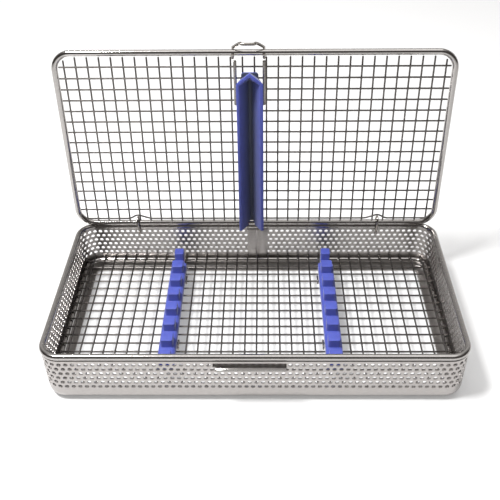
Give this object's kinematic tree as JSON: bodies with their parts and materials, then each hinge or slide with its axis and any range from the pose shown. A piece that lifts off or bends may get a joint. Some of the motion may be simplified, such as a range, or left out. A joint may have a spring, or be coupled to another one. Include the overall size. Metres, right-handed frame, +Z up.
{
  "type": "dental instrument cassette",
  "caption": "Perforated steel wire-mesh tray with silicone instrument racks, a hinged mesh lid that carries a silicone hold-down bar, and a wire loop latch.",
  "frame": {"origin": "middle of the underside of the bounding box, with the lid standing open", "axes": "+Z up, +X left to right along the tray's length, -Y to the front where the latch keeper is"},
  "size_m": [0.205, 0.1138, 0.1401],
  "materials": {
    "side_wall": "brushed perforated sheet",
    "keeper_lip": "polished",
    "seam_strip": "brushed",
    "rim_rod": "polished",
    "floor_frame": "polished",
    "floor_mesh": "drawn wire",
    "rack_left": "satin silicone",
    "rack_right": "satin silicone",
    "rack_staple_left_front": "drawn wire",
    "rack_staple_left_rear": "drawn wire",
    "rack_staple_right_front": "drawn wire",
    "rack_staple_right_rear": "drawn wire",
    "hinge_clip_left": "drawn wire",
    "hinge_clip_right": "drawn wire",
    "lid_frame": "polished",
    "lid_mesh": "drawn wire",
    "hold_down_bar": "satin silicone",
    "latch_leg_left": "drawn wire",
    "latch_leg_right": "drawn wire",
    "latch_loop": "drawn wire"
  },
  "bodies": {
    "tray": {"side_wall": "side_wall", "keeper_lip": "keeper_lip", "seam_strip": "seam_strip", "rim_rod": "rim_rod", "floor_frame": "floor_frame", "floor_mesh": "floor_mesh", "rack_left": "rack_left", "rack_right": "rack_right", "rack_staple_left_front": "rack_staple_left_front", "rack_staple_left_rear": "rack_staple_left_rear", "rack_staple_right_front": "rack_staple_right_front", "rack_staple_right_rear": "rack_staple_right_rear", "hinge_clip_left": "hinge_clip_left", "hinge_clip_right": "hinge_clip_right"},
    "lid": {"lid_frame": "lid_frame", "lid_mesh": "lid_mesh", "hold_down_bar": "hold_down_bar", "latch_leg_left": "latch_leg_left", "latch_leg_right": "latch_leg_right"},
    "latch": {"latch_loop": "latch_loop"}
  },
  "joints": [
    {"name": "lid_hinge", "type": "hinge", "parent": "tray", "child": "lid", "pos_m": [0, 0.0465, 0.03225], "axis": [1, 0, 0], "range_deg": [0, 92.85]},
    {"name": "latch_hinge", "type": "hinge", "parent": "lid", "child": "latch", "pos_m": [0, 0.0535, 0.13241], "axis": [1, 0, 0], "range_deg": [-15, 36.5]}
  ]
}
